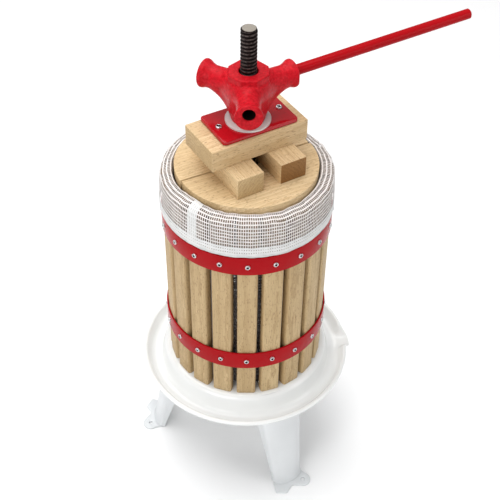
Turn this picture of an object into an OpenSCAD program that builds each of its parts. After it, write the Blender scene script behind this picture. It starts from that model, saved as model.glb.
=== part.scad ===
// Basket wine press: slatted basket on a gutter pan with three legs, a fixed central spindle,
// wooden pressing blocks and a three-socket nut that is turned with a bar.
// Origin: on the floor, on the spindle's axis. +Z is up; the pan's spout points along +X.

/* [Basket] */
// Number of staves
stave_count = 20; // [16:1:24]
// Height of a stave
stave_h = 395; // [300:5:450]
// Thickness of a stave
stave_t = 17; // [14:1:20]
// Width of a stave
stave_w = 33; // [28:1:35]
// Radius of the basket's hollow, to the flat of the staves
basket_inner_r = 120; // [119:1:124]
// Height of a hoop's band
hoop_h = 36; // [25:1:45]
// Thickness of a hoop's band
hoop_t = 3; // [2:0.5:4]
// Height of the lower hoop's lower edge above the pan
lower_hoop_z = 71; // [40:1:110]
// Height of the upper hoop's lower edge above the pan
upper_hoop_z = 293; // [240:1:295]

/* [Pan and legs] */
// Height of the pan's raised centre above the floor
pan_h = 244; // [230:1:300]
// Outer radius of the pan's rolled rim
pan_r = 189; // [186:1:192]
// Thickness of the pan's sheet
pan_t = 2; // [1.5:0.5:2.5]
// Turn of the spout from the X axis, in degrees
spout_turn = 5; // [0:1:8]
// Turn of the first leg from the X axis, in degrees
leg_turn = -60; // [-70:1:-50]
// Thickness of the leg's sheet
leg_t = 3; // [2.5:0.5:3.5]

/* [Spindle and nut] */
// Diameter of the spindle's thread
spindle_d = 25; // [22:1:26]
// Height of the spindle's top above the floor
spindle_top = 890; // [870:1:920]
// Distance from the axis to an arm's end face
arm_reach = 78; // [76:1:86]
// Rise of the sockets and the bar, in degrees
bar_tilt = 1.5; // [0:0.5:3]
// Slack turn of the handle bar in its socket, in degrees
bar_swing = 1.5; // [0:0.5:2]
// Diameter of the handle bar
bar_d = 17; // [14:1:17]
// Length of the handle bar
bar_len = 371; // [300:1:450]

/* [Pressing pieces] */
// Radius of the pressing disc
disc_r = 113.5; // [110:0.5:114]
// Thickness of the pressing disc
disc_t = 18; // [15:1:22]
// Height of the disc's lower face above the staves' feet
disc_z = 392; // [380:1:400]
// Turn of the disc's split line from the X axis, in degrees
disc_turn = 26; // [0:1:60]
// Height of a pressing block
block_h = 36; // [30:1:40]
// Turn of the lower blocks from the X axis, in degrees
block_turn = 30; // [0:1:60]
// Length of the top block
top_block_l = 170; // [150:2:180]
// Width of the top block
top_block_w = 84; // [80:1:90]
// Length of a lower block
lower_block_l = 150; // [130:2:160]
// Width of a lower block
lower_block_w = 46; // [40:1:48]

/* [Hidden] */
$fn = 96;

// heights of the stack, from the floor up
stave_top = pan_h + stave_h;
disc_bottom = pan_h + disc_z;
disc_top = disc_bottom + disc_t;
lower_block_top = disc_top + block_h;
top_block_top = lower_block_top + block_h;
plate_t = 7;
plate_top = top_block_top + plate_t;
washer_t = 3;
washer_top = plate_top + washer_t;
hub_h = 84;
hub_top = washer_top + hub_h;

// basket
stave_outer_r = basket_inner_r + stave_t;
stave_edge = 4;
stave_step = 360 / stave_count;
stave_first = -90;
hoop_inner_r = stave_outer_r + 0.7;
hoop_outer_r = hoop_inner_r + hoop_t;
hoop_screw_r = 2.1;
hoop_screw_head_r = 4.2;
hoop_screw_head_h = 2.6;
hoop_screw_l = 15;

// filter bag
bag_t = 1.6;
bag_outer_r = basket_inner_r - 0.4;
bag_floor_z = pan_h + 5;
bag_hem_z = pan_h + 329;
bag_fold_r = stave_outer_r + 2;
bag_fold_t = 3;
bag_hole_r = 26;

// pan
spindle_r = spindle_d / 2;
spindle_hole_r = spindle_r + 0.5;
pan_bead_r = 4;
pan_bead_z = pan_h - 24;
gutter_z = pan_h - 37;
pan_wall_slope = 48;
spout_start = 176;
spout_end = 197.5;
spout_mouth_w = 60;
spout_tip_w = 19;
spout_floor = gutter_z + 3.5;
spout_dip = 6;
leg_angles = [leg_turn, leg_turn - 120, leg_turn + 120];
leg_bolt_r = 4;
leg_bolt_reach = 104;
leg_bolt_side = 24;
leg_bolt_hole_r = leg_bolt_r + 0.3;

// leg sections at the top and at the foot: free edge, apex of the web, half width and sideways place
leg_top_section = [89, 140, 42, -8];
leg_foot_section = [160, 177, 25, -2];
leg_bulge = 12;
leg_flange = [82, 130];
foot_t = 4;
foot_hole_r = 3.5;
foot_hole_pos = [188, 19.3];
foot_lug_r = 14.5;
foot_lug_turn = 28;

// spindle fixings
spindle_bottom = pan_h - 28;
spindle_washer_r = 30;
spindle_washer_t = 4;
spindle_nut_r = 20;
lower_nut_h = 18;
upper_nut_h = 12;

// nut with three arms
hub_bore_r = spindle_r + 0.06;
collar_r = 32.5;
collar_h = 17;
arm_r = 16.5;
arm_root_r = 22;
arm_rim_r = 22.5;
arm_axis_z = washer_top + 53;
arm_start = 18;
socket_start = 40;
socket_r = bar_d / 2 + 1.1;
socket_rise = 5;
arm_angles = [-90, 30, 150];
bar_angle = arm_angles[1];
bar_pivot = (socket_start + arm_reach) / 2;
bar_start = socket_start + 1;

// plate and its screws
plate_l = 131;
plate_w = 78;
plate_corner = 6;
plate_screw_pitch = 106;
plate_screw_r = 2.5;
plate_screw_head_r = 5;
plate_screw_head_h = 3;
plate_screw_l = 28;
plate_shift = [4, 3.5];
plate_turn = block_turn - 0.7;
slide_washer_r = 35.5;

// wooden blocks and discs: all of them lie a little off the axis, as loose pieces do
disc_hole_r = spindle_r + 4.5;
disc_front_shift = [-1, -2.4];
disc_back_shift = [-3, 0.5];
block_hole_r = spindle_r + 8;
top_block_turn = block_turn + 0.7;
top_block_shift = [-0.5, 2.5];
lower_block_gap = spindle_r + 2.5;
lower_block_shift = -1.5;
lower_block_front = -77;

function two_digits(i) = str(i < 10 ? "0" : "", i);
stave_names = [for (i = [1 : stave_count]) str("stave_", two_digits(i))];
leg_names = ["leg_front", "leg_left", "leg_back"];

function arc(centre, r, from, to, steps) =
    [for (i = [0 : steps]) let (a = from + (to - from) * i / steps)
        [centre[0] + r * cos(a), centre[1] + r * sin(a)]];
function reversed(points) = [for (i = [len(points) - 1 : -1 : 0]) points[i]];

// A face of the pan from the spindle hole to the rim, at a depth below its upper face:
// raised centre, gutter, outer wall.
function pan_face(depth) = concat(
    [[spindle_hole_r, pan_h - depth]],
    arc([143, pan_h - 7], 7 - depth, 90, 10, 4),
    arc([163, gutter_z + 9], 9 + depth, 190, 270, 4),
    arc([168, gutter_z + 12], 12 + depth, 270, 270 + pan_wall_slope, 4),
    [[
        pan_r - pan_bead_r + depth * sin(pan_wall_slope),
        pan_bead_z + pan_bead_r - 1 - depth * cos(pan_wall_slope)
    ]]
);

module round_rect(l, w, r) {
    square([l - 2 * r, w], center = true);
    square([l, w - 2 * r], center = true);
    for (x = [-1, 1], y = [-1, 1])
        translate([x * (l / 2 - r), y * (w / 2 - r)]) circle(r, $fn = 32);
}

module cross_recess(reach, width, depth) {
    for (a = [0, 90])
        rotate(a) translate([-reach, -width / 2, -depth]) cube([2 * reach, width, 2 * depth]);
}

// Pan-head screw along +Z: the underside of the head lies at z = 0, the shank goes down.
module pan_head_screw(head_r, head_h, shank_r, shank_l) {
    difference() {
        union() {
            rotate_extrude() polygon(concat(
                [[0, -1], [shank_r / 2, -1], [shank_r / 2, 0], [head_r, 0], [head_r, head_h * 0.35]],
                arc([head_r - head_h * 0.65, head_h * 0.35], head_h * 0.65, 0, 90, 5),
                [[0, head_h]]
            ));
            translate([0, 0, -shank_l]) cylinder(h = shank_l, r = shank_r);
        }
        translate([0, 0, head_h]) cross_recess(head_r * 0.55, head_r * 0.22, head_h * 0.5);
    }
}

// ---- stand ----

// The spout's outside, or with an inset its inside, which is open at the top.
module spout_hull(inset, rise) {
    mouth_w = spout_mouth_w - 2 * inset;
    tip_w = spout_tip_w - 2 * inset;
    hull() {
        translate([spout_start, -mouth_w / 2, spout_floor - pan_t + inset])
            cube([1, mouth_w, pan_bead_z - spout_floor + pan_t + 2 + rise]);
        translate([spout_end - 1, -tip_w / 2, spout_floor - pan_t - spout_dip + inset])
            cube([1 + inset, tip_w, pan_t + spout_dip + rise]);
    }
}

module pan() {
    color([0.95, 0.96, 0.95]) difference() {
        union() {
            rotate_extrude($fn = 180) {
                polygon(concat(pan_face(0), reversed(pan_face(pan_t))));
                translate([pan_r - pan_bead_r, pan_bead_z]) circle(pan_bead_r, $fn = 32);
            }
            rotate(spout_turn) difference() {
                spout_hull(0, 0);
                rotate_extrude($fn = 180) polygon(concat(
                    pan_face(pan_t / 2), [[pan_r - 2, pan_h + 10], [spindle_hole_r, pan_h + 10]]
                ));
            }
        }
        rotate(spout_turn) spout_hull(pan_t, 40);
        for (a = leg_angles) rotate(a) leg_bolt_places() cylinder(h = 300, r = leg_bolt_hole_r);
    }
}

module leg_bolt_places() {
    for (side = [-1, 1])
        translate([leg_bolt_reach, leg_top_section[3] + side * leg_bolt_side, 0]) children();
}

// Section of a leg: flat sides from the free edge, closed outward by an elliptical web.
module leg_section(section, inset) {
    free = section[0] - 2 * inset;
    root = section[1] - leg_bulge;
    half = section[2] - inset;
    translate([0, section[3]]) polygon(concat(
        [[free, half], [free, -half]],
        [for (a = [-90 : 15 : 90]) [root + (leg_bulge - inset) * cos(a), half * sin(a)]]
    ));
}

module leg_taper(inset, extra) {
    hull() {
        translate([0, 0, -extra]) linear_extrude(0.1) leg_section(leg_foot_section, inset);
        translate([0, 0, pan_h - pan_t - 0.1 + extra])
            linear_extrude(0.1) leg_section(leg_top_section, inset);
    }
}

// Foot plate: the floor of the channel and two lugs that spread outward, one of them with a hole.
module foot_outline() {
    difference() {
        union() {
            translate([158, -26]) square([32, 54]);
            rotate(-foot_lug_turn) translate([168, 63.8]) round_rect(36.6, 24.6, 4);
            translate(foot_hole_pos) circle(foot_lug_r, $fn = 48);
            rotate(foot_lug_turn) translate([160, -83]) square([26, 26]);
        }
        translate(foot_hole_pos) circle(foot_hole_r, $fn = 48);
    }
}

module leg(angle) {
    color([0.86, 0.88, 0.87]) rotate(angle) {
        difference() {
            leg_taper(0, 0);
            leg_taper(leg_t, 1);
        }
        difference() {
            translate([leg_flange[0], leg_top_section[3] - leg_top_section[2] + 1, pan_h - pan_t - foot_t])
                cube([leg_flange[1] - leg_flange[0], 2 * leg_top_section[2] - 2, foot_t]);
            leg_bolt_places() cylinder(h = 300, r = leg_bolt_hole_r);
        }
        linear_extrude(foot_t) foot_outline();
    }
}

module leg_bolts() {
    color([0.75, 0.76, 0.78]) for (a = leg_angles)
        rotate(a) leg_bolt_places() translate([0, 0, pan_h]) rotate_extrude() polygon(concat(
            [[0, -20], [leg_bolt_r, -20], [leg_bolt_r, 0], [8, 0]],
            arc([0, -6.67], 10.42, 39.8, 90, 5)
        ));
}

module leg_nuts() {
    color([0.75, 0.76, 0.78]) for (a = leg_angles)
        rotate(a) leg_bolt_places() translate([0, 0, pan_h - pan_t - foot_t - 6.5])
            difference() {
                cylinder(h = 6.5, r = 7.5, $fn = 6);
                translate([0, 0, -1]) cylinder(h = 9, r = leg_bolt_r);
            }
}

module spindle() {
    color([0.2, 0.19, 0.18]) rotate_extrude() polygon([
        [0, spindle_bottom], [spindle_r - 1.5, spindle_bottom], [spindle_r, spindle_bottom + 1.5],
        [spindle_r, spindle_top - 2.5], [spindle_r - 2.5, spindle_top], [0, spindle_top]
    ]);
}

module spindle_washer() {
    color([0.75, 0.76, 0.78]) translate([0, 0, pan_h - pan_t - spindle_washer_t]) difference() {
        cylinder(h = spindle_washer_t, r = spindle_washer_r);
        translate([0, 0, -1]) cylinder(h = spindle_washer_t + 2, r = spindle_hole_r);
    }
}

module spindle_nut(bottom, height) {
    color([0.3, 0.3, 0.31]) translate([0, 0, bottom]) difference() {
        cylinder(h = height, r = spindle_nut_r, $fn = 6);
        translate([0, 0, -1]) cylinder(h = height + 2, r = spindle_r);
    }
}

module spindle_lower_nut() {
    spindle_nut(pan_h - pan_t - spindle_washer_t - lower_nut_h, lower_nut_h);
}

module spindle_upper_nut() {
    spindle_nut(pan_h, upper_nut_h);
}

// ---- basket ----

module stave(index) {
    color([0.87, 0.74, 0.55]) rotate(stave_first + index * stave_step) difference() {
        translate([basket_inner_r + stave_t / 2, 0, pan_h])
            linear_extrude(stave_h) round_rect(stave_t, stave_w, stave_edge);
        for (z = [lower_hoop_z, upper_hoop_z])
            translate([hoop_outer_r - hoop_screw_l, 0, pan_h + z + hoop_h / 2])
                rotate([0, 90, 0]) cylinder(h = 30, r = hoop_screw_r);
    }
}

module hoop(bottom) {
    color([0.72, 0.06, 0.14]) translate([0, 0, pan_h + bottom]) difference() {
        cylinder(h = hoop_h, r = hoop_outer_r, $fn = 180);
        translate([0, 0, -1]) cylinder(h = hoop_h + 2, r = hoop_inner_r, $fn = 180);
        for (i = [0 : stave_count - 1])
            rotate(stave_first + i * stave_step) translate([hoop_inner_r - 5, 0, hoop_h / 2])
                rotate([0, 90, 0]) cylinder(h = 20, r = hoop_screw_r);
    }
}

module hoop_screws(bottom) {
    color([0.78, 0.79, 0.8]) for (i = [0 : stave_count - 1])
        rotate(stave_first + i * stave_step)
            translate([hoop_outer_r, 0, pan_h + bottom + hoop_h / 2]) rotate([0, 90, 0])
                pan_head_screw(hoop_screw_head_r, hoop_screw_head_h, hoop_screw_r, hoop_screw_l);
}

// Bag of open net: a lining with a floor, turned over the staves and hanging outside them.
module filter_bag() {
    lining_r = bag_outer_r - bag_t;
    fold_top = stave_top + 4;
    color([0.95, 0.95, 0.94]) rotate_extrude($fn = 120) polygon([
        [bag_hole_r, bag_floor_z], [bag_outer_r, bag_floor_z], [bag_outer_r, stave_top + 1],
        [bag_fold_r, stave_top + 1], [bag_fold_r, bag_hem_z], [bag_fold_r + bag_fold_t, bag_hem_z],
        [bag_fold_r + bag_fold_t, fold_top - 2], [bag_fold_r, fold_top], [bag_outer_r, fold_top],
        [lining_r, fold_top - 2], [lining_r, bag_floor_z + bag_t], [bag_hole_r, bag_floor_z + bag_t]
    ]);
}

// ---- pressing pieces ----

module half_disc(side) {
    color([0.86, 0.75, 0.57]) rotate(disc_turn)
        translate(side > 0 ? disc_back_shift : disc_front_shift) difference() {
            translate([0, 0, disc_bottom]) cylinder(h = disc_t, r = disc_r, $fn = 180);
            translate([0, 0, disc_bottom - 1]) cylinder(h = disc_t + 2, r = disc_hole_r);
            mirror([0, side > 0 ? 1 : 0, 0])
                translate([-200, 0, disc_bottom - 1]) cube([400, 200, disc_t + 2]);
        }
}

module lower_block(side) {
    near = lower_block_shift + (side > 0 ? lower_block_gap : -lower_block_gap - lower_block_w);
    color([0.85, 0.72, 0.5]) rotate(block_turn)
        translate([near, lower_block_front, disc_top]) cube([lower_block_w, lower_block_l, block_h]);
}

module top_block() {
    color([0.88, 0.77, 0.58]) difference() {
        rotate(top_block_turn) translate(top_block_shift) difference() {
            translate([-top_block_l / 2, -top_block_w / 2, lower_block_top])
                cube([top_block_l, top_block_w, block_h]);
            translate([0, 0, lower_block_top - 1]) cylinder(h = block_h + 2, r = block_hole_r);
        }
        plate_screw_places() translate([0, 0, plate_top - plate_screw_l])
            cylinder(h = 60, r = plate_screw_r);
    }
}

module plate_screw_places() {
    rotate(plate_turn) translate(plate_shift)
        for (side = [-1, 1]) translate([side * plate_screw_pitch / 2, 0, 0]) children();
}

module pressure_plate() {
    color([0.75, 0.08, 0.18]) difference() {
        rotate(plate_turn) translate(plate_shift) translate([0, 0, top_block_top]) difference() {
            linear_extrude(plate_t) round_rect(plate_l, plate_w, plate_corner);
            translate([0, 0, -1]) cylinder(h = plate_t + 2, r = block_hole_r);
        }
        plate_screw_places() translate([0, 0, top_block_top - 1])
            cylinder(h = plate_t + 2, r = plate_screw_r);
    }
}

module plate_screws() {
    color([0.8, 0.81, 0.82]) plate_screw_places() translate([0, 0, plate_top])
        pan_head_screw(plate_screw_head_r, plate_screw_head_h, plate_screw_r, plate_screw_l);
}

module slide_washer() {
    color([0.9, 0.9, 0.9]) translate([0, 0, plate_top]) difference() {
        cylinder(h = washer_t, r = slide_washer_r);
        translate([0, 0, -1]) cylinder(h = washer_t + 2, r = spindle_r + 1);
    }
}

// ---- nut and bar ----

module along_socket(angle) {
    rotate(angle) translate([arm_reach, 0, arm_axis_z + socket_rise])
        rotate([0, 90 - bar_tilt, 0]) children();
}

// The bar lies slack in its socket, turned about the socket's middle.
module along_bar() {
    drop = (arm_reach - bar_pivot) * tan(bar_tilt);
    rotate(bar_angle) translate([bar_pivot, 0, arm_axis_z + socket_rise - drop])
        rotate([0, 90 - bar_tilt, -bar_swing]) children();
}

// One arm: a round limb with a flared end, and a rib under it.
module arm_limb(angle) {
    rotate(angle) {
        translate([0, 0, arm_axis_z]) rotate([0, 90, 0]) rotate_extrude() polygon(concat(
            [[0, arm_start], [arm_root_r, arm_start], [arm_r + 2, arm_start + 22], [arm_r, arm_reach - 17]],
            [[arm_r + 1, arm_reach - 11], [arm_rim_r, arm_reach - 5]],
            [[arm_rim_r, arm_reach - 2], [arm_rim_r - 2, arm_reach], [0, arm_reach]]
        ));
        translate([0, 9, 0]) rotate([90, 0, 0]) linear_extrude(18) polygon([
            [16, washer_top + 2], [25, washer_top + 4], [38, washer_top + 22],
            [arm_reach - 16, arm_axis_z - arm_r + 1], [arm_reach - 16, arm_axis_z], [16, arm_axis_z]
        ]);
    }
}

module arm_nut() {
    color([0.8, 0.1, 0.2]) difference() {
        union() {
            rotate_extrude() polygon([
                [0, washer_top], [26, washer_top], [26, washer_top + 5], [24, washer_top + 12],
                [25, washer_top + 26], [30, washer_top + 46], [31, hub_top - collar_h],
                [0, hub_top - collar_h]
            ]);
            translate([0, 0, hub_top - collar_h]) rotate(22.5) cylinder(h = collar_h, r = collar_r, $fn = 8);
            for (a = arm_angles) arm_limb(a);
        }
        translate([0, 0, washer_top - 1]) cylinder(h = hub_h + 2, r = hub_bore_r);
        for (a = arm_angles) along_socket(a) {
            translate([0, 0, socket_start - arm_reach]) cylinder(h = 60, r = socket_r);
            translate([0, 0, -1.5]) cylinder(h = 5, r1 = socket_r, r2 = socket_r + 5);
        }
    }
}

module handle_bar() {
    end_r = bar_d / 2 - 1.5;
    color([0.8, 0.1, 0.2]) along_bar()
        translate([0, 0, bar_start - bar_pivot]) rotate_extrude() polygon([
            [0, 0], [end_r, 0], [bar_d / 2, 1.5], [bar_d / 2, bar_len - 1.5], [end_r, bar_len], [0, bar_len]
        ]);
}

pan();
for (i = [0 : 2]) leg(leg_angles[i]);
leg_bolts();
leg_nuts();
spindle();
spindle_washer();
spindle_lower_nut();
spindle_upper_nut();
for (i = [0 : stave_count - 1]) stave(i);
hoop(lower_hoop_z);  // hoop_lower
hoop(upper_hoop_z);  // hoop_upper
hoop_screws(lower_hoop_z);  // hoop_screws_lower
hoop_screws(upper_hoop_z);  // hoop_screws_upper
filter_bag();
half_disc(-1);  // half_disc_front
half_disc(1);  // half_disc_back
lower_block(-1);  // lower_block_left
lower_block(1);  // lower_block_right
top_block();
pressure_plate();
plate_screws();
slide_washer();
arm_nut();
handle_bar();
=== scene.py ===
import math

import bmesh
import bpy
import numpy as np
import openvdb
from mathutils import Matrix, Vector


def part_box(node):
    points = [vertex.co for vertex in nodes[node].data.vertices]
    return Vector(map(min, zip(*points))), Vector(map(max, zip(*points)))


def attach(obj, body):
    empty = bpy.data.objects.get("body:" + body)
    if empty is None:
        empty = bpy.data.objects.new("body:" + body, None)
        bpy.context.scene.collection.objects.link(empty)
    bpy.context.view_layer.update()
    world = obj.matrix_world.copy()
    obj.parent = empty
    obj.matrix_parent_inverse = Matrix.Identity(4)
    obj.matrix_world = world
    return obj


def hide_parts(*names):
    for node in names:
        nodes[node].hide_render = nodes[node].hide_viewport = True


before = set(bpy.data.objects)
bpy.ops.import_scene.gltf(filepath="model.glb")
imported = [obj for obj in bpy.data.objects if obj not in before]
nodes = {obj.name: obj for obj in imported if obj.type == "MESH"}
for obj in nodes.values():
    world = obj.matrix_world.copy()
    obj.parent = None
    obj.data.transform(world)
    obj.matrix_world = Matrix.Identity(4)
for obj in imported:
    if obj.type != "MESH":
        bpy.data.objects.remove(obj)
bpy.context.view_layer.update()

MM = 0.001
random = np.random.default_rng(7)

# ---- sizes read from the frame ----

stave_low, stave_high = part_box("stave_01")  # the stave at -Y
basket_in = -stave_high.y
basket_out = -stave_low.y
stave_w = stave_high.x - stave_low.x
stave_bottom = stave_low.z
stave_top = stave_high.z
stave_names = sorted(name for name in nodes if name.startswith("stave_"))
stave_step = 2 * math.pi / len(stave_names)

pan_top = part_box("pan")[1].z
pan_r = -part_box("pan")[0].x
spindle_low, spindle_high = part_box("spindle")
spindle_r = spindle_high.x
hoop_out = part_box("hoop_upper")[1].x
upper_hoop_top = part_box("hoop_upper")[1].z
disc_low, disc_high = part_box("half_disc_front")
hub_low, hub_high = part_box("arm_nut")
plate_low, plate_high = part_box("pressure_plate")

# ---- how the pieces are placed and sized ----

BLOCK_TURN = math.radians(30)
TOP_BLOCK_TURN = math.radians(30.7)
PLATE_TURN = math.radians(29.3)
PLATE_AT = (4 * MM, 3.5 * MM)
DISC_TURN = math.radians(26)
DISC_R = 113.5 * MM
DISC_SHIFTS = {-1: (-1 * MM, -2.4 * MM), 1: (-3 * MM, 0.5 * MM)}  # the front half, the back half
DISC_HOLE_R = spindle_r + 4.5 * MM
THREAD_PITCH = 6 * MM
BLOCK_HOLE_R = spindle_r + 8 * MM
PLATE_SCREW_AT = 53 * MM
HOOP_SCREW = (4.2 * MM, 2.6 * MM, 2.1 * MM, 15 * MM)  # head's radius and height, shank's radius and length
PLATE_SCREW = (5 * MM, 3 * MM, 2.5 * MM, 28 * MM)
LEG_ANGLES = {"leg_front": -60, "leg_left": -180, "leg_back": 60}
SPOUT_AT = math.radians(5)
GUTTER = pan_top - 37 * MM
FOOT_HOLE = (188, 19.3)  # millimetres, on a leg along +X
HEM_FOLD = 8 * MM
NET_SEAM_AT = -128  # in degrees


# ---- meshes ----

def new_object(name, points, faces, materials, smooth=True):
    """A mesh object in the scene. Its first material is on every face."""
    mesh = bpy.data.meshes.new(name)
    mesh.from_pydata([tuple(p) for p in points], [], [tuple(int(i) for i in f) for f in faces])
    mesh.update()
    if smooth:
        mesh.shade_smooth()
    else:
        mesh.shade_flat()
    for material in materials:
        mesh.materials.append(material)
    made = bpy.data.objects.new(name, mesh)
    bpy.context.scene.collection.objects.link(made)
    return made


def apply_modifiers(target):
    """The target keeps the shape that its modifiers give it, and loses the modifiers."""
    bpy.context.view_layer.update()
    shaped = target.evaluated_get(bpy.context.evaluated_depsgraph_get())
    mesh = bpy.data.meshes.new_from_object(shaped)
    target.modifiers.clear()
    target.data = mesh


def bevel(target, width, segments=3, angle=35):
    """Rounds the edges that are sharper than the angle."""
    modifier = target.modifiers.new("edges", "BEVEL")
    modifier.width = width
    modifier.segments = segments
    modifier.limit_method = "ANGLE"
    modifier.angle_limit = math.radians(angle)


def grid_faces(rows, columns, wrap_columns=False, wrap_rows=False):
    """Quads of a grid of points that are numbered row by row."""
    row_count = rows if wrap_rows else rows - 1
    column_count = columns if wrap_columns else columns - 1
    return [
        (
            i * columns + j,
            i * columns + (j + 1) % columns,
            (i + 1) % rows * columns + (j + 1) % columns,
            (i + 1) % rows * columns + j,
        )
        for i in range(row_count)
        for j in range(column_count)
    ]


def arc(centre, radius, start, end, steps):
    """Points on an arc, from start to end in degrees."""
    return [
        (centre[0] + radius * math.cos(a), centre[1] + radius * math.sin(a))
        for a in np.radians(np.linspace(start, end, steps + 1))
    ]


def rounded_outline(length, width, corner, steps):
    """A rectangle about the origin with round corners, anticlockwise."""
    x, y = length / 2 - corner, width / 2 - corner
    corners = ((x, y, 0), (-x, y, 90), (-x, -y, 180), (x, -y, 270))
    return [p for cx, cy, a in corners for p in arc((cx, cy), corner, a, a + 90, steps)]


def lathe(name, profile, steps, materials, bend=None):
    """Turns a closed profile of (radius, height) points about Z. bend(angle, r, z) may move a point."""
    points = []
    for angle in np.linspace(0, 2 * math.pi, steps, endpoint=False):
        for r, z in profile:
            r2, z2 = bend(angle, r, z) if bend else (r, z)
            points.append((r2 * math.cos(angle), r2 * math.sin(angle), z2))
    faces = grid_faces(steps, len(profile), wrap_rows=True, wrap_columns=True)
    return new_object(name, points, faces, materials)


def prism(name, outline, bottom, top, materials):
    """A flat-topped solid on an outline that runs anticlockwise."""
    count = len(outline)
    points = [(x, y, bottom) for x, y in outline] + [(x, y, top) for x, y in outline]
    sides = [(i, (i + 1) % count, count + (i + 1) % count, count + i) for i in range(count)]
    faces = [tuple(range(count - 1, -1, -1)), tuple(range(count, 2 * count)), *sides]
    return new_object(name, points, faces, materials, smooth=False)


def smooth_by_angle(target, degrees):
    """Smooth shading everywhere but at edges sharper than the angle."""
    mesh = target.data
    mesh.shade_smooth()
    mesh.set_sharp_from_angle(angle=math.radians(degrees))


def drill(target, radius, x, y, bottom, top):
    """Cuts a vertical hole through the target, which lies between the two heights."""
    past = 10 * MM
    circle = arc((x, y), radius, 0, 360, 48)[:-1]
    cutter = prism("cutter", circle, bottom - past, top + past, [])
    cut = target.modifiers.new("hole", "BOOLEAN")
    cut.operation = "DIFFERENCE"
    cut.object = cutter
    cut.solver = "EXACT"
    apply_modifiers(target)
    bpy.data.objects.remove(cutter)


def join(target, others):
    """Adds the others' meshes to the target's, as one piece."""
    whole = bmesh.new()
    whole.from_mesh(target.data)
    for other in others:
        whole.from_mesh(other.data)
        bpy.data.objects.remove(other)
    whole.to_mesh(target.data)
    whole.free()


def turned(x, y, angle):
    """A point turned about the origin."""
    return (x * math.cos(angle) - y * math.sin(angle), x * math.sin(angle) + y * math.cos(angle))


# ---- shader helpers ----

def add(material, kind, inputs=None, **settings):
    """Adds a node to a material or world. An input that is a socket is linked, any other is set."""
    node = material.node_tree.nodes.new("ShaderNode" + kind)
    for key, value in settings.items():
        setattr(node, key, value)
    for key, value in (inputs or {}).items():
        if isinstance(value, bpy.types.NodeSocket):
            material.node_tree.links.new(value, node.inputs[key])
        else:
            node.inputs[key].default_value = value
    return node


def new_material(name, **sockets):
    """A material with a Principled shader whose constant sockets are set directly."""
    material = bpy.data.materials.new(name)
    material.use_nodes = True
    shader = material.node_tree.nodes["Principled BSDF"]
    for key, value in sockets.items():
        shader.inputs[key.replace("_", " ")].default_value = value
    return material


def link(material, socket, name):
    """Links a socket to an input of the material's Principled shader."""
    shader = material.node_tree.nodes["Principled BSDF"]
    material.node_tree.links.new(socket, shader.inputs[name])


def object_place(material):
    """Where a point lies on the object, in metres."""
    return add(material, "TexCoord").outputs["Object"]


def stretched(material, vector, scale):
    """The vector with each axis scaled, for patterns that are longer one way than another."""
    return add(material, "Mapping", {"Vector": vector, "Scale": scale}).outputs["Vector"]


def noise(material, vector, scale, detail=3.0, roughness=0.5, distortion=0.0):
    """A cloudy pattern of values around a half."""
    inputs = {
        "Vector": vector, "Scale": scale, "Detail": detail, "Roughness": roughness, "Distortion": distortion
    }
    return add(material, "TexNoise", inputs).outputs["Fac"]


def ramp(material, factor, *stops):
    """A colour ramp of (position, colour or grey) stops."""
    node = add(material, "ValToRGB", {"Fac": factor})
    elements = node.color_ramp.elements
    while len(elements) < len(stops):
        elements.new(1.0)
    for element, (position, colour) in zip(elements, stops):
        element.position = position
        element.color = (*colour, 1) if hasattr(colour, "__len__") else (colour, colour, colour, 1)
    return node.outputs["Color"]


def spread(material, factor, low, high, from_low=0.3, from_high=0.7):
    """Maps a noise value to a range."""
    inputs = {
        "Value": factor, "From Min": from_low, "From Max": from_high, "To Min": low, "To Max": high
    }
    return add(material, "MapRange", inputs).outputs["Result"]


def blend_colours(material, factor, first, second, mode="MIX"):
    """Blends two colours. The factor and each colour are a socket or a value."""
    node = add(material, "Mix", data_type="RGBA", blend_type=mode)
    for socket, value in ((node.inputs[0], factor), (node.inputs[6], first), (node.inputs[7], second)):
        if isinstance(value, bpy.types.NodeSocket):
            material.node_tree.links.new(value, socket)
        elif hasattr(value, "__len__"):
            socket.default_value = (*value, 1)
        else:
            socket.default_value = value
    return node.outputs[2]


def bump(material, height, distance, strength=1.0, below=None):
    """A normal from a height pattern, on top of the normal below it."""
    inputs = {"Height": height, "Distance": distance, "Strength": strength}
    if below is not None:
        inputs["Normal"] = below
    return add(material, "Bump", inputs).outputs["Normal"]


# ---- materials ----

def enamel(name, light, dark, gloss, roughness=(0.14, 0.24)):
    """Glossy baked enamel: faint clouds in the colour, orange peel in the surface."""
    material = new_material(name, IOR=1.5, Specular_IOR_Level=gloss)
    place = object_place(material)
    clouds = noise(material, place, 14, detail=5)
    link(material, ramp(material, clouds, (0.3, dark), (0.7, light)), "Base Color")
    link(material, spread(material, noise(material, place, 60), *roughness), "Roughness")
    link(material, bump(material, noise(material, place, 260, detail=2), 0.05 * MM), "Normal")
    return material


def cast_enamel(name, light, dark):
    """Enamel over a sand casting: the skin of the casting shows as soft lumps and small pits."""
    material = new_material(name, IOR=1.5, Specular_IOR_Level=0.09)
    place = object_place(material)
    skin = noise(material, place, 240, detail=6, roughness=0.65)
    link(material, ramp(material, skin, (0.32, dark), (0.68, light)), "Base Color")
    link(material, spread(material, noise(material, place, 90), 0.28, 0.44), "Roughness")
    lumps = bump(material, noise(material, place, 150, detail=4), 0.9 * MM, 0.9)
    link(material, bump(material, noise(material, place, 620, detail=2), 0.12 * MM, 0.6, lumps), "Normal")
    return material


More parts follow.
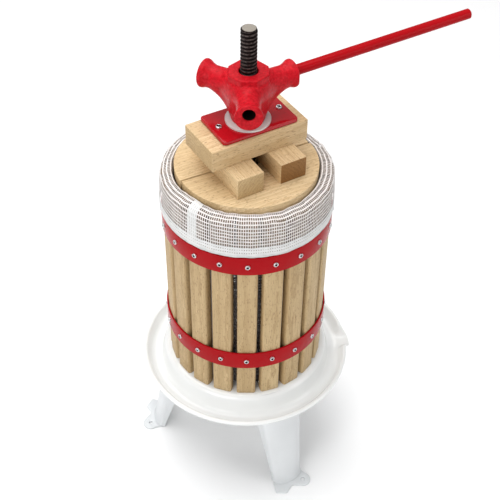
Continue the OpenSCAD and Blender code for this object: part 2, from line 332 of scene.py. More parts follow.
def powder_coat(name):
    """Semi-gloss baked powder, with its fine grain."""
    material = new_material(name, IOR=1.5)
    place = object_place(material)
    clouds = noise(material, place, 11, detail=4)
    white = ramp(material, clouds, (0.3, (0.66, 0.68, 0.69)), (0.7, (0.72, 0.74, 0.75)))
    link(material, white, "Base Color")
    link(material, spread(material, noise(material, place, 45), 0.28, 0.42), "Roughness")
    link(material, bump(material, noise(material, place, 900, detail=2), 0.06 * MM), "Normal")
    return material


def plated_steel(name, colour=(0.72, 0.73, 0.74), roughness=(0.2, 0.38)):
    """Metal with dull patches and a fine pitted skin."""
    material = new_material(name, Metallic=1.0)
    place = object_place(material)
    dull = noise(material, place, 180, detail=5)
    tint = ramp(material, dull, (0.3, [0.7 * c for c in colour]), (0.7, colour))
    link(material, tint, "Base Color")
    link(material, spread(material, noise(material, place, 420), *roughness), "Roughness")
    link(material, bump(material, noise(material, place, 700), 0.04 * MM), "Normal")
    return material


def thread_steel(name):
    """Black oxide with brown in the roots, rubbed to grey and painted lighter on the crests as highlight.
    The mesh gives the crests.
    """
    material = new_material(name, Metallic=0.85)
    place = object_place(material)
    crest = add(material, "Attribute", attribute_name="crest").outputs["Fac"]
    scuffs = noise(material, place, 300, detail=4)
    # Lighter on the crests: wear, and a painted highlight along the thread's crests
    rubbed_and_highlit = add(material, "Math", {0: crest, 1: scuffs}, operation="MULTIPLY").outputs[0]
    root, flank, edge = (0.008, 0.004, 0.004), (0.018, 0.011, 0.010), (0.11, 0.088, 0.08)
    colour = ramp(material, rubbed_and_highlit, (0.0, root), (0.38, flank), (0.66, edge))
    link(material, colour, "Base Color")
    link(material, spread(material, scuffs, 0.3, 0.5), "Roughness")
    link(material, bump(material, noise(material, place, 900), 0.05 * MM), "Normal")
    return material


def machined_face(name):
    """The screw's turned end face, with rings from the tool."""
    material = new_material(name, Metallic=0.9)
    place = object_place(material)
    shape = {"Vector": place, "Scale": 260.0, "Distortion": 1.0, "Detail": 2.0}
    rings = add(material, "TexWave", shape, wave_type="RINGS", rings_direction="Z").outputs["Fac"]
    steel = ramp(material, rings, (0.2, (0.30, 0.27, 0.23)), (0.8, (0.42, 0.38, 0.33)))
    link(material, steel, "Base Color")
    link(material, spread(material, noise(material, place, 240), 0.35, 0.5), "Roughness")
    link(material, bump(material, rings, 0.05 * MM), "Normal")
    return material


def beech(name, pale, deep, fleck, rough=0.5):
    """Beech seen along or across the grain. The attribute "grain" runs along the fibres in its Z,
    with the pith on its axis, and "tone" darkens or reddens a whole piece."""
    material = new_material(name, IOR=1.45)
    grain = add(material, "Attribute", attribute_name="grain").outputs["Vector"]
    tone = add(material, "Attribute", attribute_name="tone").outputs["Fac"]
    drawn = stretched(material, grain, (1, 1, 0.12))
    shape = {
        "Vector": drawn, "Scale": 55.0, "Distortion": 5.0, "Detail": 3.0, "Detail Scale": 3.0,
        "Detail Roughness": 0.6,
    }
    rings = add(
        material, "TexWave", shape, wave_type="RINGS", rings_direction="Z", wave_profile="SAW"
    ).outputs["Fac"]
    broad = noise(material, stretched(material, grain, (22, 22, 2.5)), 1.0, detail=4, distortion=0.4)
    fibres = noise(material, stretched(material, grain, (1100, 1100, 26)), 1.0, detail=3, roughness=0.6)
    rays = noise(material, stretched(material, grain, (620, 620, 170)), 1.0, detail=1)

    between = [0.55 * a + 0.45 * b for a, b in zip(pale, deep)]
    ring_colour = ramp(material, rings, (0.0, pale), (0.75, between), (1.0, deep))
    clouded = blend_colours(material, spread(material, broad, 0.0, 0.75), ring_colour, deep)
    pore = [0.8 * c for c in deep]
    lined = blend_colours(material, spread(material, fibres, 0.0, 0.7, 0.4, 0.75), clouded, pore)
    flecked = blend_colours(material, spread(material, rays, 0.0, 0.65, 0.6, 0.72), lined, fleck)
    toned = blend_colours(material, tone, flecked, (0.45, 0.28, 0.12), mode="MULTIPLY")
    link(material, toned, "Base Color")
    link(material, spread(material, fibres, rough, rough + 0.18), "Roughness")
    coarse = bump(material, rings, 0.12 * MM, 0.5)
    link(material, bump(material, fibres, 0.1 * MM, 0.8, coarse), "Normal")
    return material


def net_yarn(name, dark, light):
    """Plastic yarn: cloudy colour and the small lumps of its strands."""
    material = new_material(name, IOR=1.48, Roughness=0.5, Specular_IOR_Level=0.3)
    place = object_place(material)
    clouds = noise(material, place, 130, detail=3)
    link(material, ramp(material, clouds, (0.3, dark), (0.7, light)), "Base Color")
    link(material, bump(material, noise(material, place, 1500, detail=2), 0.25 * MM, 0.8), "Normal")
    return material


def nylon(name):
    """Moulded white plastic, a little grey from use."""
    material = new_material(name, IOR=1.5)
    place = object_place(material)
    clouds = noise(material, place, 40, detail=4)
    white = ramp(material, clouds, (0.3, (0.56, 0.55, 0.53)), (0.7, (0.63, 0.62, 0.60)))
    link(material, white, "Base Color")
    link(material, spread(material, noise(material, place, 200), 0.35, 0.5), "Roughness")
    link(material, bump(material, noise(material, place, 500), 0.06 * MM), "Normal")
    return material


white_enamel = enamel("white_enamel", (0.83, 0.84, 0.83), (0.80, 0.81, 0.80), 0.5, (0.07, 0.13))
red_enamel = enamel("red_enamel", (0.39, 0.004, 0.008), (0.34, 0.003, 0.006), 0.07)
plate_enamel = enamel("plate_enamel", (0.43, 0.006, 0.012), (0.37, 0.004, 0.009), 0.4, (0.1, 0.18))
red_cast = cast_enamel("red_casting", (0.60, 0.012, 0.022), (0.35, 0.003, 0.007))
leg_paint = powder_coat("leg_paint")
zinc = plated_steel("zinc_steel")
oxide = plated_steel("oxide_nut", (0.09, 0.085, 0.08), (0.35, 0.5))
thread_finish = thread_steel("thread_steel")
turned_finish = machined_face("turned_steel")
stave_side = beech("stave_wood", (0.65, 0.49, 0.27), (0.44, 0.30, 0.14), (0.22, 0.12, 0.05))
stave_end = beech("stave_end_grain", (0.50, 0.36, 0.18), (0.32, 0.20, 0.09), (0.16, 0.09, 0.04), 0.6)
# Darker beech as painted shade: the staves' wood behind the net, seen through its holes
net_shade_stave_wood = beech("stave_wood_painted_net_shade", (0.26, 0.19, 0.13), (0.15, 0.10, 0.06), (0.07, 0.045, 0.03))
press_side = beech("pressing_wood", (0.80, 0.63, 0.38), (0.56, 0.38, 0.19), (0.27, 0.15, 0.06))
press_end = beech("pressing_end_grain", (0.66, 0.50, 0.28), (0.44, 0.29, 0.13), (0.20, 0.11, 0.05), 0.6)
yarn = net_yarn("net_yarn", (0.76, 0.71, 0.68), (0.86, 0.81, 0.78))
hem_yarn = net_yarn("net_hem_yarn", (0.66, 0.66, 0.65), (0.76, 0.76, 0.75))
# Near-black yarn as painted shade, for the lining where it shows in the gaps between the staves
gap_shade_yarn = net_yarn("net_yarn_painted_gap_shade", (0.05, 0.04, 0.035), (0.09, 0.075, 0.07))
# Bare iron, dark enough to also stand in as painted shade deep in the nut's bores
bare_iron_and_shade = plated_steel("bare_iron_and_shade", (0.05, 0.035, 0.03), (0.55, 0.75))
# Near-black steel in the screws' cross recesses: painted shade
recess_shade_steel = plated_steel("screw_recess_painted_shade", (0.012, 0.011, 0.010), (0.6, 0.8))
white_nylon = nylon("white_nylon")


# ---- wood ----

def give_grain(target, along, across, pith, tone, end_tone=0.0):
    """Stores where each point lies in the log that the piece was cut from, and its tone. The fibres run
    along the vector along, and the pith is at an offset from the piece's centre. The end faces get the
    second material, and end_tone on top of the tone."""
    mesh = target.data
    along, across = Vector(along).normalized(), Vector(across).normalized()
    third = along.cross(across)
    points = np.array([v.co for v in mesh.vertices])
    centre = (points.min(0) + points.max(0)) / 2
    local = (points - centre) @ np.array([across, third, along]).T + np.array(pith)
    grain = mesh.attributes.new("grain", "FLOAT_VECTOR", "POINT")
    grain.data.foreach_set("vector", local.astype(np.float32).ravel())
    shade = mesh.attributes.new("tone", "FLOAT", "POINT")
    from_middle = np.abs((points - centre) @ np.array(along))
    at_end = from_middle > from_middle.max() - 0.3 * MM
    shade.data.foreach_set("value", (tone + end_tone * at_end).astype(np.float32))
    for face in mesh.polygons:
        face.material_index = 1 if abs(face.normal.dot(along)) > 0.75 else 0


def finish_wood(target, edge, along, across, pith, tone, end_tone=0.0):
    """Eases the edges of a piece and gives it its grain."""
    bevel(target, edge)
    apply_modifiers(target)
    give_grain(target, along, across, pith, tone, end_tone)
    smooth_by_angle(target, 50)


def make_stave(index):
    """A stave with eased edges, a little uneven in width, twist and tone. The wood under the net gets a
    darker beech as painted shade, standing in for the shadow behind the net."""
    name = stave_names[index]
    angle = -math.pi / 2 + index * stave_step
    width = stave_w - random.uniform(0, 0.6) * MM
    lean = random.uniform(-0.4, 0.4) * MM
    outline = rounded_outline(basket_out - basket_in, width, 4 * MM, 4)
    middle = (basket_in + basket_out) / 2
    easing = 0.6 * MM
    shank = np.linspace(stave_bottom + 12 * MM, stave_top - 12 * MM, 9)
    levels = [
        stave_bottom, stave_bottom + easing, *shank, upper_hoop_top - 4 * MM, upper_hoop_top,
        stave_top - easing, stave_top,
    ]
    points = []
    for z in sorted(levels):
        share = (z - stave_bottom) / (stave_top - stave_bottom)
        size = 0.93 if z in (stave_bottom, stave_top) else 1.0
        sway = lean * math.sin(math.pi * share)
        for x, y in outline:
            x2, y2 = turned(middle + x * size, y * size + sway, angle)
            points.append((x2, y2, z))
    count = len(outline)
    faces = grid_faces(len(levels), count, wrap_columns=True)
    faces.append(tuple(range(count - 1, -1, -1)))
    faces.append(tuple(range(len(points) - count, len(points))))
    made = new_object(name + "_beech", points, faces, [stave_side, stave_end, net_shade_stave_wood])
    out = (math.cos(angle), math.sin(angle), 0)
    pith = (random.uniform(0.03, 0.09), random.uniform(-0.05, 0.05), random.uniform(-2, 2))
    give_grain(made, (0, 0, 1), out, pith, random.uniform(0.0, 0.12))
    # Faces above the upper hoop, under the net, get the darker beech as painted shade
    net_shade_index = 2
    for face in made.data.polygons:
        if face.center.z > upper_hoop_top:
            face.material_index = net_shade_index
    smooth_by_angle(made, 50)
    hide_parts(name)
    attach(made, "stand")


def make_half_disc(side):
    """Half of the round pressing board, with a half hole for the screw."""
    name = "half_disc_back" if side > 0 else "half_disc_front"
    shift = DISC_SHIFTS[side]
    half_ring = arc((0, 0), DISC_R, 0, 180, 60) + arc((0, 0), DISC_HOLE_R, 180, 0, 14)
    outline = [turned(x + shift[0], side * y + shift[1], DISC_TURN) for x, y in half_ring]
    if side < 0:
        outline.reverse()
    made = prism(name + "_beech", outline, disc_low.z, disc_high.z, [press_side, press_end])
    along = (math.cos(DISC_TURN), math.sin(DISC_TURN), 0)
    pith = (0.05, 0.12 * side, 0.7 + 0.9 * side)
    finish_wood(made, 1.2 * MM, along, (0, 0, 1), pith, 0.02)
    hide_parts(name)
    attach(made, "press_stack")


def make_block(name, turn, middle, size, grain_turn, pith, tone, end_tone=0.0, hole=None):
    """A squared block of beech, turned about the screw. Its height comes from the frame."""
    low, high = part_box(name)
    centre = turned(*middle, turn)
    corners = [(a * size[0] / 2, b * size[1] / 2) for a, b in ((1, -1), (1, 1), (-1, 1), (-1, -1))]
    outline = [(centre[0] + x, centre[1] + y) for x, y in (turned(*corner, turn) for corner in corners)]
    made = prism(name + "_beech", outline, low.z, high.z, [press_side, press_end])
    if hole:
        drill(made, hole, *centre, low.z, high.z)
    direction = turn + grain_turn
    along = (math.cos(direction), math.sin(direction), 0)
    finish_wood(made, 1.3 * MM, along, (0, 0, 1), pith, tone, end_tone)
    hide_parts(name)
    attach(made, "press_stack")


def make_wood():
    """The staves, the two half discs and the three blocks."""
    for index in range(len(stave_names)):
        make_stave(index)
    for side in (-1, 1):
        make_half_disc(side)
    lower_size = (46 * MM, 150 * MM)
    across = math.pi / 2
    make_block("lower_block_left", BLOCK_TURN, (-39.5 * MM, -2 * MM), lower_size, across,
               (0.05, -0.06, 3.1), 0.0)
    make_block("lower_block_right", BLOCK_TURN, (36.5 * MM, -2 * MM), lower_size, across,
               (0.04, 0.05, 5.3), 0.16, end_tone=0.8)
    make_block("top_block", TOP_BLOCK_TURN, (-0.5 * MM, 2.5 * MM), (170 * MM, 84 * MM), 0.0,
               (0.03, 0.02, 1.7), 0.08, hole=BLOCK_HOLE_R)


# ---- pan and legs ----

def pan_profile():
    """The pan's section, closed: upper face, rolled rim, lower face."""
    sheet = 2 * MM
    bead_r = 4 * MM
    fillet = 13 * MM

    def face(depth):
        """One face of the sheet: the raised centre, its round edge, and the gutter up to the rim."""
        return [
            (spindle_r + 0.5 * MM, pan_top - depth),
            (60 * MM, pan_top - depth),
            (120 * MM, pan_top - depth),
            *arc((137 * MM, pan_top - fillet), fillet - depth, 90, 20, 10),
            *arc((166 * MM, GUTTER + fillet), fillet + depth, 205, 318, 18),
        ]

    rim = arc((pan_r - bead_r, pan_top - 24 * MM), bead_r, 150, -75, 16)
    return face(0) + rim + face(sheet)[::-1]


def pull_spout(angle, r, z):
    """Draws the rim out and down into a lip near the spout's angle. The lip is steeper on one side."""
    off = math.degrees(math.remainder(angle - SPOUT_AT, 2 * math.pi))
    half_width = 2.2
    reach = 5.5 if off < 0 else 8.0
    share = np.clip((abs(off) - half_width) / reach, 0, 1)
    pull = 1 - share * share * (3 - 2 * share)
    outward = np.clip((r - 170 * MM) / (pan_r - 172 * MM), 0, 1)
    lip = 8.5 * MM
    drop = 0.82 * max(z - GUTTER, 0) * min(1, outward * 2)
    return r + lip * pull * outward ** 2, z - pull * (drop + 1.5 * MM * outward)


def make_pan():
    """The pan, turned from its section and drawn out at the spout."""
    made = lathe("pan_pressed", pan_profile(), 360, [white_enamel], bend=pull_spout)
    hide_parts("pan")
    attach(made, "stand")


def leg_section(share):
    """Outer line of a leg's channel at a share of its height, from one free edge to the other."""
    foot = (160, 177, 25, -2)  # free edge, apex, half width, shift to the side
    head = (89, 140, 42, -8)
    free, apex, half, side = ((1 - share) * a + share * b for a, b in zip(foot, head))
    bulge = 12
    root = apex - bulge
    flank = [(free + (root - free) * t, half) for t in np.linspace(0, 1, 7)[:-1]]
    web = [(root + bulge * math.cos(a), half * math.sin(a)) for a in np.radians(np.linspace(90, -90, 25))]
    line = flank + web + [(x, -y) for x, y in reversed(flank)]
    return [(x * MM, (y + side) * MM) for x, y in line]


def foot_outline():
    """Foot plate of a leg that points along +X: a plain tab, a waist, and a round lug for the screw."""
    tab_turn = math.radians(-28)
    tab_ends = [*arc((182, 55.8), 4, -90, 0, 4), *arc((182, 71.8), 4, 0, 90, 4)]
    tab = [turned(x, y, tab_turn) for x, y in tab_ends]
    waist = arc((199, -5.5), 8.5, 218, 122, 6)
    lug = arc(FOOT_HOLE, 14.5, -48, 128, 14)
    back = [(168, 27), (158, 25), (158, -27), (166, -33)]
    return [(x * MM, y * MM) for x, y in tab + waist + lug + back]


def make_leg(name, degrees):
    """A pressed channel that flares onto its foot plate, with a flange under the pan."""
    angle = math.radians(degrees)
    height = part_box(name)[1].z
    flare_top = 13
    lowest = 2
    levels = [0, lowest, 4, 6, 9, flare_top, *np.linspace(20, height / MM, 14)]
    points = []
    for level in levels:
        flare = 5 * MM * max(0, 1 - level / flare_top) ** 2
        line = leg_section(level * MM / height)
        for i, (x, y) in enumerate(line):
            before, after = line[max(i - 1, 0)], line[min(i + 1, len(line) - 1)]
            normal = Vector((before[1] - after[1], after[0] - before[0])).normalized()
            x2, y2 = turned(x + normal.x * flare, y + normal.y * flare, angle)
            points.append((x2, y2, max(level, lowest) * MM))
    faces = grid_faces(len(levels), len(leg_section(0)))
    made = new_object(name + "_pressed", points, faces, [leg_paint])
    thickness = made.modifiers.new("sheet", "SOLIDIFY")
    thickness.thickness = 3 * MM
    thickness.offset = -1
    apply_modifiers(made)

    plate_t = 4 * MM
    plate_line = [turned(x, y, angle) for x, y in foot_outline()]
    plate = prism("foot", plate_line, 0, plate_t, [leg_paint])
    hole = turned(FOOT_HOLE[0] * MM, FOOT_HOLE[1] * MM, angle)
    drill(plate, 3.5 * MM, *hole, 0, plate_t)
    flange_corners = ((82, -47), (132, -47), (132, 31), (82, 31))
    flange_line = [turned(x * MM, y * MM, angle) for x, y in flange_corners]
    flange = prism("flange", flange_line, height - plate_t, height, [leg_paint])
    for extra in (plate, flange):
        bevel(extra, 1 * MM)
        apply_modifiers(extra)
    join(made, [plate, flange])
    smooth_by_angle(made, 40)
    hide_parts(name)
    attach(made, "stand")


# ---- hoops and plate ----

def make_hoop(name):
    """A band of steel strip with rounded edges."""
    low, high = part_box(name)
    inner = basket_out + 0.7 * MM
    middle = ((inner + high.x) / 2, (low.z + high.z) / 2)
    section = rounded_outline(high.x - inner, high.z - low.z, 0.9 * MM, 4)
    profile = [(middle[0] + x, middle[1] + y) for x, y in section]
    made = lathe(name + "_band", profile, 200, [red_enamel])
    smooth_by_angle(made, 40)
    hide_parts(name)
    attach(made, "stand")


def make_plate():
    """The pressed plate, with rolled edges."""
    shift = turned(*PLATE_AT, PLATE_TURN)
    outline = [turned(x, y, PLATE_TURN) for x, y in rounded_outline(131 * MM, 78 * MM, 6 * MM, 6)]
    outline = [(x + shift[0], y + shift[1]) for x, y in outline]
    made = prism("pressure_plate_enamelled", outline, plate_low.z, plate_high.z, [plate_enamel])
    drill(made, BLOCK_HOLE_R, *shift, plate_low.z, plate_high.z)
    bevel(made, 2.6 * MM, segments=5, angle=50)
    apply_modifiers(made)
    smooth_by_angle(made, 50)
    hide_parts("pressure_plate")
    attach(made, "press_stack")


# ---- screws ----

def screw_section(head_r, head_h, shank_r, shank_l):
    """Half section of a pan-head screw from its tip to the floor of its recess, head's seat at height 0."""
    head = arc((head_r - 0.5 * head_h, 0.5 * head_h), 0.5 * head_h, 0, 80, 5)
    return [
        (0.1 * shank_r, -shank_l), (shank_r, 2 * shank_r - shank_l), (shank_r, 0), (head_r, 0), *head,
        (0.66 * head_r, head_h), (0.62 * head_r, 0.9 * head_h), (0.4 * head_r, 0.1 * head_h),
        (0.02 * head_r, -0.1 * head_h),
    ]


def make_screws(name, places, head_r, head_h, shank_r, shank_l, body):
    """Screws with cross recesses, as one piece, the recesses painted near black as shade. A place is a
    seat's centre, its axis and a turn.
    """
    section = screw_section(head_r, head_h, shank_r, shank_l)
    recess_points = 3
    first_recess = len(section) - recess_points
    steps = 32
    points, faces, in_recess = [], [], []
    for centre, axis, turn in places:
        spin = Vector(axis).to_track_quat("Z", "Y") @ Matrix.Rotation(turn, 3, "Z").to_quaternion()
        base = len(points)
        for angle in np.linspace(0, 2 * math.pi, steps, endpoint=False):
            lobe = 0.75 + 0.25 * abs(math.cos(2 * angle)) ** 3
            for k, (r, z) in enumerate(section):
                r2 = r * lobe if k >= first_recess else r
                local = Vector((r2 * math.cos(angle), r2 * math.sin(angle), z))
                points.append(Vector(centre) + spin @ local)
        for face in grid_faces(steps, len(section), wrap_rows=True):
            faces.append([base + i for i in face])
            in_recess.append(min(i % len(section) for i in face) >= first_recess)
    made = new_object(name + "_heads", points, faces, [zinc, recess_shade_steel])
    # Faces in a recess get the near-black steel, as painted shade
    for face, dark in zip(made.data.polygons, in_recess):
        face.material_index = 1 if dark else 0
    smooth_by_angle(made, 45)
    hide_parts(name)
    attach(made, body)


def make_all_screws():
    """The screws of both hoops, one in each stave, and the two in the plate."""
    for name in ("hoop_screws_lower", "hoop_screws_upper"):
        low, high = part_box(name)
        places = []
        for index in range(len(stave_names)):
            angle = -math.pi / 2 + index * stave_step
            axis = (math.cos(angle), math.sin(angle), 0)
            seat = (hoop_out * axis[0], hoop_out * axis[1], (low.z + high.z) / 2)
            places.append((seat, axis, random.uniform(0, math.pi)))
        make_screws(name, places, *HOOP_SCREW, "stand")
    places = []
    for side in (-1, 1):
        x, y = turned(PLATE_AT[0] + side * PLATE_SCREW_AT, PLATE_AT[1], PLATE_TURN)
        places.append(((x, y, plate_high.z), (0, 0, 1), random.uniform(0, math.pi)))
    make_screws("plate_screws", places, *PLATE_SCREW, "press_stack")


# ---- spindle ----

def drop_thin_quads(target, shortest):
    """Merges the points where the helix is cut flat at its ends."""
    shape = bmesh.new()
    shape.from_mesh(target.data)
    bmesh.ops.remove_doubles(shape, verts=shape.verts, dist=shortest)
    bmesh.ops.dissolve_degenerate(shape, edges=shape.edges, dist=shortest)
    shape.to_mesh(target.data)
    shape.free()


def make_spindle():
    """The screw with its trapezoidal thread, as one helix of quads, and a turned end face."""
    steps = 28  # quads in a turn
    root = spindle_r - 2.1 * MM
    profile = ((0.0, root), (0.12, root), (0.34, spindle_r), (0.62, spindle_r), (0.86, root))
    end_r = root + 0.6 * MM
    turns = math.ceil((spindle_high.z - spindle_low.z) / THREAD_PITCH) + 1
    count = turns * steps
    points, crest = [], []
    for k in range(count + 1):
        angle = 2 * math.pi * k / steps
        for share, r in profile:
            z = spindle_low.z - THREAD_PITCH + THREAD_PITCH * (k / steps + share)
            z = min(max(z, spindle_low.z), spindle_high.z)
            ease = min(z - spindle_low.z, spindle_high.z - z)
            r2 = min(r, end_r + ease)
            points.append((r2 * math.cos(angle), r2 * math.sin(angle), z))
            crest.append(np.clip((r2 - root) / (spindle_r - root), 0, 1))
    width = len(profile)
    faces = []
    for k in range(count):
        for j in range(width - 1):
            first = k * width + j
            faces.append((first, first + width, first + width + 1, first + 1))
        if k + steps + 1 <= count:
            low, high = k * width + width - 1, (k + steps) * width
            faces.append((low, low + width, high + width, high))
    made = new_object("spindle_thread", points, faces, [thread_finish, turned_finish])
    mark = made.data.attributes.new("crest", "FLOAT", "POINT")
    mark.data.foreach_set("value", np.array(crest, np.float32))
    drop_thin_quads(made, 0.02 * MM)
    rim = arc((0, 0), end_r + 0.05 * MM, 0, 360, 40)[:-1]
    caps = []
    for name, z, turn in (("cap_low", spindle_low.z, -1), ("cap_high", spindle_high.z, 1)):
        face = range(len(rim))[::turn]
        cap = new_object(name, [(x, y, z) for x, y in rim], [face], [thread_finish, turned_finish])
        cap.data.polygons[0].material_index = 1
        caps.append(cap)
    join(made, caps)
    smooth_by_angle(made, 50)
    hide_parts("spindle")
    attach(made, "stand")


# ---- nut with three arms, in millimetres above the casting's foot ----

NUT_H = (hub_high.z - hub_low.z) / MM
ARM_END = -hub_low.y / MM
ARM_Z = 53
SOCKET_R = 9.6
SOCKET_RISE = 5
SOCKET_TILT = math.radians(1.5)
NUT_ARMS = ((-90, 21.4, 0.0), (30, 22.3, 1.6), (150, 22.8, 1.6))  # direction, rim's radius, lift


def soft_min(a, b, reach):
    """The smaller of two distances, with a fillet where they come within reach of each other."""
    h = np.clip(0.5 + 0.5 * (b - a) / reach, 0, 1)
    return b + (a - b) * h - reach * h * (1 - h)


def soft_max(a, b, reach):
    """The larger of two distances, with a rounded edge where they meet."""
    return -soft_min(-a, -b, reach)


def turned_body(r, along, stations, radii):
    """Signed distance to a body of revolution whose radius runs smoothly through the stations."""
    fine = np.linspace(stations[0], stations[-1], 200)
    padded = np.pad(np.interp(fine, stations, radii), 6, mode="edge")
    smooth = np.convolve(padded, np.ones(13) / 13, "valid")
    body = r - np.interp(along, fine, smooth)
    edge = 2.2
    return soft_max(soft_max(body, along - stations[-1], edge), stations[0] - along, edge)


def capsule(x, y, z, start, end, start_r, end_r):
    """Signed distance to a round-ended bar whose radius changes evenly from start to end."""
    start, end = np.array(start, float), np.array(end, float)
    axis = end - start
    dx, dy, dz = x - start[0], y - start[1], z - start[2]
    share = np.clip((dx * axis[0] + dy * axis[1] + dz * axis[2]) / (axis @ axis), 0, 1)
    gap = np.sqrt((dx - share * axis[0]) ** 2 + (dy - share * axis[1]) ** 2 + (dz - share * axis[2]) ** 2)
    return gap - (start_r + share * (end_r - start_r))


def in_arm(x, y, degrees):
    """How far a point lies out along an arm's direction, and to its side."""
    return turned(x, y, -math.radians(degrees))


def from_socket_axis(along, side, z):
    """Distance from the axis of an arm's socket, which lies above the arm's own and rises outward."""
    return np.hypot(side, z - ARM_Z - SOCKET_RISE + (ARM_END - along) * math.tan(SOCKET_TILT))


def nut_distance(x, y, z):
    """Signed distance to the casting."""
    r = np.hypot(x, y)
    body = turned_body(r, z, (0, 5, 12, 26, 44, NUT_H - 14), (26, 26, 25.5, 28, 32, 31.5))
    stations = (10, 24, 40, ARM_END - 18, ARM_END - 11, ARM_END - 5, ARM_END)
    sockets = np.full_like(x, 1e3)
    for degrees, rim, lift in NUT_ARMS:
        along, side = in_arm(x, y, degrees)
        from_axis = np.hypot(side, z - ARM_Z - along * math.tan(math.radians(lift)))
        arm = turned_body(from_axis, along, stations, (24, 21, 18.2, 17, rim - 3.6, rim - 0.4, rim))
        rib = capsule(along, side * 0.8, z, (20, 0, 20), (ARM_END - 22, 0, ARM_Z - 8), 13, 9)
        body = soft_min(body, soft_min(arm, rib, 12), 14)
        wall = from_socket_axis(along, side, z) - SOCKET_R
        socket = soft_max(wall, 40 - along, 1)
        mouth = np.maximum(wall - (along - ARM_END + 1.2), ARM_END - 6 - along)
        sockets = np.minimum(sockets, np.minimum(socket, mouth))

    sides = np.radians(np.arange(0, 360, 45))
    octagon = np.max([x * math.cos(a) + y * math.sin(a) for a in sides], axis=0)
    collar_r = 30
    collar_half_h = 8.5
    collar = soft_max(octagon - collar_r, np.abs(z - NUT_H + collar_half_h) - collar_half_h, 1.8)
    body = soft_min(body, collar, 2.5)
    body = soft_max(body, -sockets, 1.0)

    from_thread = r - spindle_r / MM
    bore = np.minimum(from_thread - 0.35, np.maximum(from_thread - 2.1, NUT_H - 12 - z))
    return soft_max(body, -bore, 1.2)


def in_a_bore(x, y, z):
    """True where the casting's surface is the unpainted wall of the thread's bore or of a socket, which
    gets near-black iron: bare metal, darkened as painted shade deep in the holes.
    """
    bare_and_shaded = np.hypot(x, y) < spindle_r / MM + 1.2
    for degrees, _, _ in NUT_ARMS:
        along, side = in_arm(x, y, degrees)
        near_wall = from_socket_axis(along, side, z) < SOCKET_R + 0.8
        bare_and_shaded |= near_wall & (along > 36) & (along < ARM_END - 3)
    return bare_and_shaded


def make_arm_nut():
    """The red casting, meshed from its signed distance, with bare iron in its bores, painted near black as
    shade.
    """
    voxel = 1.0
    low = np.array([-78.0, -82.0, -3.0])
    high = np.array([78.0, 56.0, NUT_H + 3])
    foot = np.array([0, 0, hub_low.z])
    axes = [np.arange(a, b, voxel) for a, b in zip(low, high)]
    x, y, z = np.meshgrid(*axes, indexing="ij")
    values = np.clip(nut_distance(x, y, z), -4, 4)
    volume = openvdb.FloatGrid(4.0)
    volume.copyFromArray(values.astype(np.float32))
    points, _, quads = volume.convertToPolygons(isovalue=0.0, adaptivity=0.0)
    points = (points * voxel + low) * MM + foot
    faces = quads[:, ::-1]
    made = new_object("arm_nut_casting", points, faces, [red_cast, bare_iron_and_shade])
    centres = (points[faces].mean(1) - foot) / MM
    made.data.polygons.foreach_set("material_index", in_a_bore(*centres.T).astype(int))
    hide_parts("arm_nut")
    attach(made, "nut")


# ---- filter bag ----

def bag_profile():
    """The net's path from inside its hem, down and round the hem, up over the staves, down inside to the
    pan. Returns (radius, height) points."""
    face = hoop_out + 0.2 * MM
    hem_bottom = upper_hoop_top + 1.2 * MM
    rim = stave_top + 5.5 * MM
    return [
        (face - 0.9 * MM, hem_bottom + HEM_FOLD),
        (face - 0.8 * MM, hem_bottom + 1 * MM),
        (face + 0.1 * MM, hem_bottom),
        (face + 0.8 * MM, hem_bottom + 1 * MM),
        (face + 0.9 * MM, hem_bottom + 12 * MM),
        (face + 0.8 * MM, hem_bottom + 19 * MM),
        (face + 0.2 * MM, hem_bottom + 22 * MM),
        (face - 0.2 * MM, hem_bottom + 40 * MM),
        (face - 0.6 * MM, rim - 15 * MM),
        (face - 2.4 * MM, rim - 7 * MM),
        (face - 6 * MM, rim - 2.6 * MM),
        (face - 12 * MM, rim - 0.4 * MM),
        (basket_in + 4 * MM, rim + 1.6 * MM),
        (basket_in + 0.2 * MM, rim + 0.6 * MM),
        (basket_in - 1.4 * MM, rim - 3.5 * MM),
        (basket_in - 1.5 * MM, rim - 24 * MM),
        (basket_in - 2.2 * MM, pan_top + 7 * MM),
        (basket_in - 5 * MM, pan_top + 5.5 * MM),
    ]


def along_profile(profile, spacing):
    """Resamples a profile at even steps along its length, with its corners rounded."""
    line = np.array(profile)
    lengths = np.concatenate([[0], np.cumsum(np.linalg.norm(np.diff(line, axis=0), axis=1))])
    fine = np.arange(0, lengths[-1], 0.5 * MM)
    dense = np.stack([np.interp(fine, lengths, line[:, k]) for k in (0, 1)], -1)
    padded = np.pad(dense, ((3, 3), (0, 0)), mode="edge")
    rounded = np.stack([np.convolve(padded[:, k], np.ones(7) / 7, "valid") for k in (0, 1)], -1)
    return np.array([[np.interp(s, fine, rounded[:, k]) for k in (0, 1)] for s in spacing]), lengths[-1]


def net_lines(total):
    """Where the net's cross lines lie along its path. Returns their places, and for each band between
    two lines whether it is a row of holes. The cells are twice as tall deep in the basket."""
    cell_h = 6.3 * MM
    lining_start = 128 * MM
    fine_end = 258 * MM
    hem_end = HEM_FOLD + 22 * MM
    hem_rows = 3
    hem_hole = 1.8 * MM
    lines, open_band = [0, HEM_FOLD + 1 * MM], [False]
    for row in range(hem_rows):
        start = HEM_FOLD + (4.5 + 6 * row) * MM
        lines += [start, start + hem_hole]
        open_band += [False, True]
    lines.append(hem_end)
    open_band.append(False)
    place = hem_end
    while place < total - 14 * MM:
        cell = cell_h if place < fine_end else 2 * cell_h
        thread = (0.32 if place < lining_start else 0.5) * cell
        lines += [place + cell - thread, place + cell]
        open_band += [True, False]
        place += cell
    lines.append(total)
    open_band.append(False)
    return np.array(lines), open_band


def bell(around, degrees, width):
    """1 in one direction, and falls off to both sides over a width in degrees."""
    off = np.degrees(np.angle(np.exp(1j * (around - math.radians(degrees)))))
    return np.exp(-(off / width) ** 2)


